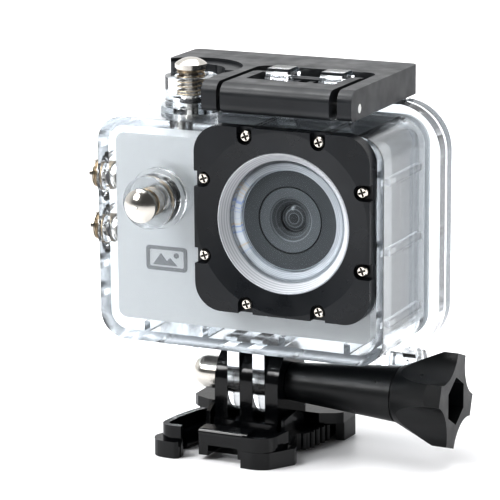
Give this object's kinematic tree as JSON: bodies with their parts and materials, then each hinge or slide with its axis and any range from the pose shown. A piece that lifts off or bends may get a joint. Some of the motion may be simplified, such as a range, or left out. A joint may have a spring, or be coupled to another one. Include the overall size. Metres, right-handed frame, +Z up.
{
  "type": "action camera",
  "caption": "Small action camera in a clear hinged waterproof housing with push buttons and a lever latch, tilting on a quick-release buckle with a thumbscrew.",
  "frame": {"origin": "on the floor, under the middle of the pivot screw", "axes": "+X to the right seen from the front and along the pivot screw, -Y is the lens side, +Z up"},
  "size_m": [0.0829, 0.046, 0.084],
  "materials": {
    "clear_polycarbonate": "clear moulded polycarbonate, polished, faint blue at the edges",
    "gloss_black_plastic": "glossy black moulded acetal",
    "thumbscrew_black": "fine matte black moulded nylon",
    "latch_graphite": "matte dark graphite moulded plastic with fine grain",
    "bezel_black": "satin black moulded frame",
    "silver_satin": "satin light silver paint",
    "silver_grey": "mid grey moulded body with fine texture",
    "chrome_warm": "polished warm nickel-chrome",
    "steel": "turned stainless steel",
    "nickel_screw": "nickel-plated screw steel",
    "rubber_black": "black nitrile rubber",
    "silicone_white": "translucent white silicone",
    "lens_black": "dark grey stepped lens trim",
    "lens_glass": "coated optical glass",
    "board_green": "green solder mask",
    "sensor_glass": "sensor cover glass over silicon",
    "screen_black": "black glossy display",
    "battery_wrap": "blue-grey cell wrap",
    "key_grey": "grey moulded key",
    "print_grey": "printed grey pictogram",
    "card_black": "black card body",
    "led_lens": "blue indicator lens"
  },
  "bodies": {
    "base": {"buckle_body": "gloss_black_plastic", "acorn_nut": "chrome_warm"},
    "left_arm": {"left_squeeze_arm": "gloss_black_plastic"},
    "right_arm": {"right_squeeze_arm": "gloss_black_plastic"},
    "thumbscrew": {"thumbscrew_handle": "thumbscrew_black", "thumbscrew_bolt": "steel"},
    "housing": {"housing_front": "clear_polycarbonate", "port_window": "clear_polycarbonate", "port_seal": "rubber_black", "lens_bezel": "bezel_black", "bezel_screws": "nickel_screw", "shutter_spring": "steel", "shutter_o_ring": "rubber_black", "power_spring": "steel", "power_o_ring": "rubber_black", "upper_side_spring": "steel", "upper_side_o_ring": "rubber_black", "lower_side_spring": "steel", "lower_side_o_ring": "rubber_black", "camera_front_shell": "silver_satin", "camera_rear_shell": "silver_grey", "front_emblem": "print_grey", "lens_ring": "lens_black", "lens_barrel": "lens_black", "front_lens_element": "lens_glass", "rear_lens_element": "lens_glass", "image_sensor": "sensor_glass", "sensor_board": "board_green", "main_board": "board_green", "lcd_screen": "screen_black", "battery": "battery_wrap", "battery_door": "silver_grey", "memory_card": "card_black", "speaker": "key_grey", "microphone": "steel", "port_cover": "silver_grey", "status_led": "led_lens", "case_screws": "steel"},
    "shutter_button": {"shutter_plunger": "chrome_warm"},
    "power_button": {"power_plunger": "chrome_warm"},
    "upper_side_button": {"upper_side_plunger": "chrome_warm"},
    "lower_side_button": {"lower_side_plunger": "chrome_warm"},
    "shutter_key": {"camera_shutter_key": "key_grey"},
    "power_key": {"camera_power_key": "key_grey"},
    "upper_side_key": {"camera_upper_side_key": "key_grey"},
    "lower_side_key": {"camera_lower_side_key": "key_grey"},
    "latch_lever": {"latch_lever": "latch_graphite"},
    "latch_bail": {"latch_bail": "latch_graphite", "bail_pin": "steel"},
    "door": {"back_door": "clear_polycarbonate", "door_gasket": "silicone_white"}
  },
  "joints": [
    {"name": "camera_tilt", "type": "hinge", "parent": "base", "child": "housing", "pos_m": [0, 0, 0.014], "axis": [1, 0, 0], "range_deg": [-30, 58]},
    {"name": "thumbscrew_turn", "type": "hinge", "parent": "base", "child": "thumbscrew", "pos_m": [0, 0, 0.014], "axis": [1, 0, 0], "continuous": true},
    {"name": "latch_lever_lift", "type": "hinge", "parent": "housing", "child": "latch_lever", "pos_m": [0, 0.0015, 0.0795], "axis": [-1, 0, 0], "range_deg": [0, 110]},
    {"name": "latch_bail_swing", "type": "hinge", "parent": "latch_lever", "child": "latch_bail", "pos_m": [0, -0.0112, 0.0778], "axis": [-1, 0, 0], "range_deg": [-220, 0]},
    {"name": "door_swing", "type": "hinge", "parent": "housing", "child": "door", "pos_m": [0, 0.0152, 0.017], "axis": [-1, 0, 0], "range_deg": [0, 88]},
    {"name": "shutter_press", "type": "slide", "parent": "housing", "child": "shutter_button", "axis": [0, 1, 0], "range_m": [0, 0.0013], "stiffness_N_per_m": 300, "springref_m": -0.001, "deforming": ["shutter_spring"]},
    {"name": "power_press", "type": "slide", "parent": "housing", "child": "power_button", "axis": [0, 0, -1], "range_m": [0, 0.0013], "stiffness_N_per_m": 300, "springref_m": -0.001, "deforming": ["power_spring"]},
    {"name": "upper_side_press", "type": "slide", "parent": "housing", "child": "upper_side_button", "axis": [1, 0, 0], "range_m": [0, 0.0013], "stiffness_N_per_m": 300, "springref_m": -0.001, "deforming": ["upper_side_spring"]},
    {"name": "lower_side_press", "type": "slide", "parent": "housing", "child": "lower_side_button", "axis": [1, 0, 0], "range_m": [0, 0.0013], "stiffness_N_per_m": 300, "springref_m": -0.001, "deforming": ["lower_side_spring"]},
    {"name": "shutter_key_press", "type": "slide", "parent": "housing", "child": "shutter_key", "axis": [0, 1, 0], "range_m": [0, 0.000468], "stiffness_N_per_m": 200, "springref_m": -0.0005},
    {"name": "power_key_press", "type": "slide", "parent": "housing", "child": "power_key", "axis": [0, 0, -1], "range_m": [0, 0.000468], "stiffness_N_per_m": 200, "springref_m": -0.0005},
    {"name": "upper_side_key_press", "type": "slide", "parent": "housing", "child": "upper_side_key", "axis": [1, 0, 0], "range_m": [0, 0.000468], "stiffness_N_per_m": 200, "springref_m": -0.0005},
    {"name": "lower_side_key_press", "type": "slide", "parent": "housing", "child": "lower_side_key", "axis": [1, 0, 0], "range_m": [0, 0.000468], "stiffness_N_per_m": 200, "springref_m": -0.0005},
    {"name": "left_arm_squeeze", "type": "hinge", "parent": "base", "child": "left_arm", "pos_m": [-0.0126, 0.0072, 0.003], "axis": [0, 0, 1], "range_deg": [0, 3.5], "stiffness_Nm_per_rad": 1.5, "springref_deg": -1.15},
    {"name": "right_arm_squeeze", "type": "hinge", "parent": "base", "child": "right_arm", "pos_m": [0.0126, 0.0072, 0.003], "axis": [0, 0, -1], "range_deg": [0, 3.5], "stiffness_Nm_per_rad": 1.5, "springref_deg": -1.15}
  ],
  "couplings": [
    {"joint": "latch_bail_swing", "follows": "latch_lever_lift", "ratio": -2},
    {"joint": "door_swing", "follows": "latch_lever_lift", "ratio": 0.8},
    {"joint": "shutter_key_press", "follows": "shutter_press", "ratio": 0.36},
    {"joint": "power_key_press", "follows": "power_press", "ratio": 0.36},
    {"joint": "upper_side_key_press", "follows": "upper_side_press", "ratio": 0.36},
    {"joint": "lower_side_key_press", "follows": "lower_side_press", "ratio": 0.36}
  ]
}
